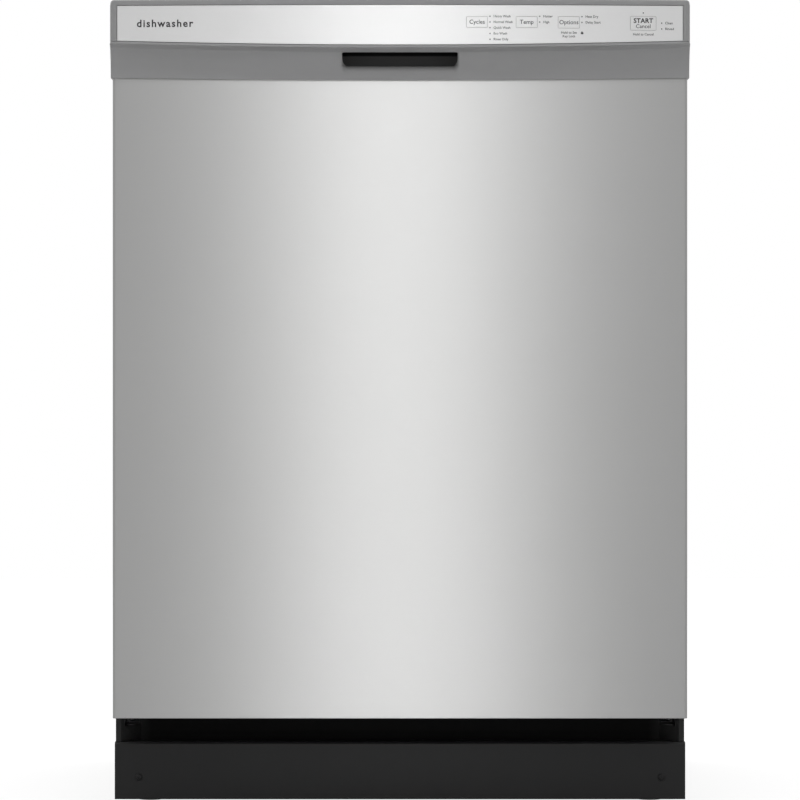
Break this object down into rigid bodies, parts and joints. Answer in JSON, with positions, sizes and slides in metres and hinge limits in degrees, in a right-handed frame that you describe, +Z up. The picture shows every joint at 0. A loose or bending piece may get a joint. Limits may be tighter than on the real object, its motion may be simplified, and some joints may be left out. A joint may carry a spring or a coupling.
{
  "type": "built in dishwasher",
  "caption": "Built-in dishwasher with a drop-down stainless door, bowed grey control console with a recessed grip, black toe kick, and sliding racks over spray arms in a moulded tub.",
  "frame": {"origin": "on the floor under the middle of the bounding box, with the door shut and the legs screwed in", "axes": "+Z up, -Y out of the front, +X to the right of someone facing the door"},
  "size_m": [0.608, 0.635, 0.851],
  "materials": {
    "brushed_steel": "horizontally brushed",
    "fascia_silver": "horizontally brushed",
    "galvanised_steel": "galvanised",
    "console_grey": "fine satin",
    "black_plastic": "fine texture",
    "toe_black": "satin black paint",
    "tub_grey": "satin moulded plastic",
    "rack_grey": "satin moulded plastic",
    "rack_wire": "nylon coating over steel wire",
    "motor_black": "painted casing over steel and copper",
    "white_plastic": "satin",
    "gasket_rubber": "matte",
    "blanket_felt": "needled felt",
    "circuit_green": "solder mask",
    "heater_metal": "heat-stained sheath",
    "blue_plastic": "satin"
  },
  "bodies": {
    "cabinet": {"base_frame": "black_plastic", "tub": "tub_grey", "front_frame": "galvanised_steel", "insulation_blanket": "blanket_felt", "tub_gasket": "gasket_rubber", "sump_housing": "black_plastic", "wash_motor": "motor_black", "drain_pump": "white_plastic", "inlet_valve": "white_plastic", "junction_box": "galvanised_steel", "heating_element": "heater_metal", "filter_plate": "rack_grey", "filter_cylinder": "rack_grey", "spray_feed_tube": "rack_grey", "top_spray_nozzle": "rack_grey", "toe_kick": "toe_black", "toe_kick_screw_left": "toe_black", "toe_kick_screw_right": "toe_black", "counter_bracket_left": "galvanised_steel", "counter_bracket_right": "galvanised_steel", "latch_strike": "galvanised_steel", "hinge_spring_left": "galvanised_steel", "hinge_spring_right": "galvanised_steel", "upper_rail_left": "galvanised_steel", "upper_rail_right": "galvanised_steel"},
    "door": {"door_outer_panel": "brushed_steel", "door_inner_liner": "tub_grey", "console_housing": "console_grey", "console_fascia": "fascia_silver", "handle_pocket": "black_plastic", "control_board": "circuit_green", "hinge_arm_left": "galvanised_steel", "hinge_arm_right": "galvanised_steel", "dispenser_body": "white_plastic", "latch_body": "black_plastic", "door_vent": "white_plastic"},
    "detergent_lid": {"detergent_lid": "white_plastic"},
    "rinse_aid_cap": {"rinse_aid_cap": "blue_plastic"},
    "latch_hook": {"latch_hook": "galvanised_steel"},
    "cycle_button": {"cycle_button": "fascia_silver"},
    "temp_button": {"temp_button": "fascia_silver"},
    "option_button": {"option_button": "fascia_silver"},
    "start_button": {"start_button": "fascia_silver"},
    "upper_rack": {"upper_rack": "rack_wire", "upper_rack_feed_pipe": "rack_grey"},
    "middle_spray_arm": {"middle_spray_arm": "rack_grey"},
    "cup_shelf": {"cup_shelf": "rack_wire"},
    "lower_rack": {"lower_rack": "rack_wire", "silverware_basket": "rack_grey"},
    "lower_spray_arm": {"lower_spray_arm": "rack_grey"},
    "float_dome": {"float_dome": "white_plastic"},
    "lower_rack_wheel_front_left": {"lower_rack_wheel_front_left": "rack_grey"},
    "lower_rack_wheel_front_right": {"lower_rack_wheel_front_right": "rack_grey"},
    "lower_rack_wheel_rear_left": {"lower_rack_wheel_rear_left": "rack_grey"},
    "lower_rack_wheel_rear_right": {"lower_rack_wheel_rear_right": "rack_grey"},
    "leg_front_left": {"leg_front_left": "galvanised_steel"},
    "leg_front_right": {"leg_front_right": "galvanised_steel"},
    "leg_rear_left": {"leg_rear_left": "galvanised_steel"},
    "leg_rear_right": {"leg_rear_right": "galvanised_steel"}
  },
  "joints": [
    {"name": "door_hinge", "type": "hinge", "parent": "cabinet", "child": "door", "pos_m": [0, -0.2545, 0.115], "axis": [1, 0, 0], "range_deg": [0, 90], "stiffness_Nm_per_rad": 12, "springref_deg": -5.73, "deforming": ["hinge_spring_left", "hinge_spring_right"]},
    {"name": "upper_rack_slide", "type": "slide", "parent": "cabinet", "child": "upper_rack", "axis": [0, -1, 0], "range_m": [0, 0.38]},
    {"name": "lower_rack_slide", "type": "slide", "parent": "cabinet", "child": "lower_rack", "axis": [0, -1, 0], "range_m": [0, 0.16]},
    {"name": "middle_spray_turn", "type": "hinge", "parent": "upper_rack", "child": "middle_spray_arm", "pos_m": [0, 0.02, 0.448], "axis": [0, 0, 1], "continuous": true},
    {"name": "lower_spray_turn", "type": "hinge", "parent": "cabinet", "child": "lower_spray_arm", "pos_m": [0, 0.02, 0.176], "axis": [0, 0, 1], "continuous": true},
    {"name": "cup_shelf_fold", "type": "hinge", "parent": "upper_rack", "child": "cup_shelf", "pos_m": [-0.238, 0, 0.562], "axis": [0, -1, 0], "range_deg": [0, 75]},
    {"name": "float_lift", "type": "slide", "parent": "cabinet", "child": "float_dome", "axis": [0, 0, 1], "range_m": [0, 0.01]},
    {"name": "detergent_lid_hinge", "type": "hinge", "parent": "door", "child": "detergent_lid", "pos_m": [0, -0.2185, 0.386], "axis": [-1, 0, 0], "range_deg": [0, 100]},
    {"name": "rinse_aid_cap_turn", "type": "hinge", "parent": "door", "child": "rinse_aid_cap", "pos_m": [0.068, -0.225, 0.422], "axis": [0, 1, 0], "range_deg": [0, 90]},
    {"name": "latch_hook_lift", "type": "hinge", "parent": "door", "child": "latch_hook", "pos_m": [0, -0.276, 0.832], "axis": [1, 0, 0], "range_deg": [0, 8], "stiffness_Nm_per_rad": 0.05},
    {"name": "cycle_button_press", "type": "slide", "parent": "door", "child": "cycle_button", "axis": [0, 1, 0], "range_m": [0, 0.0008], "stiffness_N_per_m": 1500},
    {"name": "temp_button_press", "type": "slide", "parent": "door", "child": "temp_button", "axis": [0, 1, 0], "range_m": [0, 0.0008], "stiffness_N_per_m": 1500},
    {"name": "option_button_press", "type": "slide", "parent": "door", "child": "option_button", "axis": [0, 1, 0], "range_m": [0, 0.0008], "stiffness_N_per_m": 1500},
    {"name": "start_button_press", "type": "slide", "parent": "door", "child": "start_button", "axis": [0, 1, 0], "range_m": [0, 0.0008], "stiffness_N_per_m": 1500},
    {"name": "wheel_front_left_roll", "type": "hinge", "parent": "lower_rack", "child": "lower_rack_wheel_front_left", "pos_m": [-0.251, -0.105, 0.1641], "axis": [1, 0, 0], "continuous": true},
    {"name": "wheel_front_right_roll", "type": "hinge", "parent": "lower_rack", "child": "lower_rack_wheel_front_right", "pos_m": [0.251, -0.105, 0.1641], "axis": [1, 0, 0], "continuous": true},
    {"name": "wheel_rear_left_roll", "type": "hinge", "parent": "lower_rack", "child": "lower_rack_wheel_rear_left", "pos_m": [-0.251, 0.18, 0.1641], "axis": [1, 0, 0], "continuous": true},
    {"name": "wheel_rear_right_roll", "type": "hinge", "parent": "lower_rack", "child": "lower_rack_wheel_rear_right", "pos_m": [0.251, 0.18, 0.1641], "axis": [1, 0, 0], "continuous": true},
    {"name": "leg_front_left_adjust", "type": "slide", "parent": "cabinet", "child": "leg_front_left", "axis": [0, 0, -1], "range_m": [0, 0.038]},
    {"name": "leg_front_right_adjust", "type": "slide", "parent": "cabinet", "child": "leg_front_right", "axis": [0, 0, -1], "range_m": [0, 0.038]},
    {"name": "leg_rear_left_adjust", "type": "slide", "parent": "cabinet", "child": "leg_rear_left", "axis": [0, 0, -1], "range_m": [0, 0.038]},
    {"name": "leg_rear_right_adjust", "type": "slide", "parent": "cabinet", "child": "leg_rear_right", "axis": [0, 0, -1], "range_m": [0, 0.038]}
  ],
  "couplings": [
    {"joint": "upper_rack_slide", "follows": "door_hinge", "m_per_rad": 0.24},
    {"joint": "lower_rack_slide", "follows": "door_hinge", "m_per_rad": 0.1},
    {"joint": "wheel_front_left_roll", "follows": "door_hinge", "ratio": 5.5556},
    {"joint": "wheel_front_right_roll", "follows": "door_hinge", "ratio": 5.5556},
    {"joint": "wheel_rear_left_roll", "follows": "door_hinge", "ratio": 5.5556},
    {"joint": "wheel_rear_right_roll", "follows": "door_hinge", "ratio": 5.5556}
  ]
}
